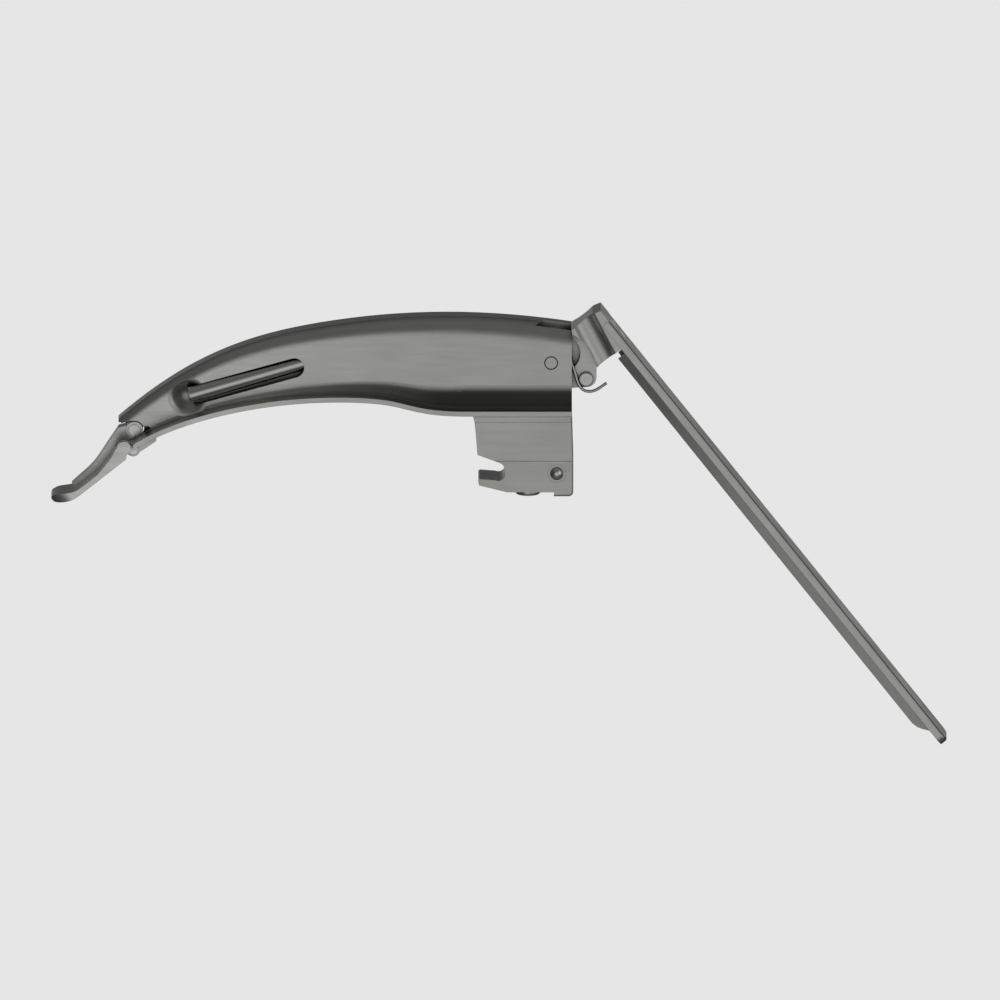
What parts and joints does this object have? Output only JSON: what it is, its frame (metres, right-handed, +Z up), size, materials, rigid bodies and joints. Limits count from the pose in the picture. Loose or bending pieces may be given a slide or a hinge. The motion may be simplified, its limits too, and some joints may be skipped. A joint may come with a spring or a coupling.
{
  "type": "laryngoscope blade",
  "caption": "Curved laryngoscope blade with hook-on heel, light tube, squeeze lever and a rod-driven hinged tip that flexes upwards.",
  "frame": {"origin": "axis of the hook seat that snaps on the handle's hinge bar, in the middle of the heel's thickness", "axes": "+X towards the lever, -X towards the tip, +Z up from the heel to the blade's convex side, -Y towards the side with the light tube, which is the near side"},
  "size_m": [0.2239, 0.0175, 0.1107],
  "materials": {
    "satin": "satin, fine glass-bead and brush finish",
    "polished": "polished stainless steel",
    "spring_wire": "bright drawn wire",
    "bush_bronze": "turned bronze",
    "window_glass": "polished end window",
    "fibre_glass": "packed optical fibres"
  },
  "bodies": {
    "blade": {"blade_body": "satin", "side_cover": "satin", "cover_screws": "polished", "heel_block": "satin", "heel_screws": "polished", "light_tube": "polished", "fibre_bundle": "fibre_glass", "distal_window": "window_glass", "inlet_ferrule": "polished", "inlet_window": "window_glass", "detent_retainers": "polished", "detent_spring": "spring_wire", "pivot_pin": "polished", "pivot_spacer": "polished", "spring_anchor": "polished", "rod_guides": "satin", "hinge_bracket": "satin", "bracket_rivets": "polished", "hinge_pin": "polished", "hinge_washer": "polished"},
    "ball_near": {"detent_ball_near": "polished"},
    "ball_far": {"detent_ball_far": "polished"},
    "lever": {"lever_yoke": "satin", "lever_arm": "satin", "lever_rivets": "polished", "pivot_bush": "bush_bronze", "spring_post": "polished", "drive_pin": "polished", "return_spring": "spring_wire"},
    "rod": {"push_rod": "polished", "rod_rear_eye": "satin", "rod_front_eye": "satin"},
    "tip": {"tip_blade": "satin", "link_pin": "polished"}
  },
  "joints": [
    {"name": "lever_pivot", "type": "hinge", "parent": "blade", "child": "lever", "pos_m": [0.0132, 0, 0.0271], "axis": [0, 1, 0], "range_deg": [0, 35], "deforming": ["return_spring"]},
    {"name": "rod_slide", "type": "hinge", "parent": "blade", "child": "rod", "pos_m": [-0.0303, 0, -0.0977], "axis": [0, -1, 0], "range_deg": [0, 2.12]},
    {"name": "tip_hinge", "type": "hinge", "parent": "blade", "child": "tip", "pos_m": [-0.0913, 0, 0.00595], "axis": [0, -1, 0], "range_deg": [0, 70.1]},
    {"name": "detent_near", "type": "slide", "parent": "blade", "child": "ball_near", "axis": [0, 1, 0], "range_m": [0, 0.0008], "deforming": ["detent_spring"]},
    {"name": "detent_far", "type": "slide", "parent": "blade", "child": "ball_far", "axis": [0, -1, 0], "range_m": [0, 0.0008], "deforming": ["detent_spring"]}
  ],
  "couplings": [
    {"joint": "rod_slide", "follows": "lever_pivot", "ratio": 0.06045},
    {"joint": "tip_hinge", "follows": "lever_pivot", "ratio": 2}
  ]
}
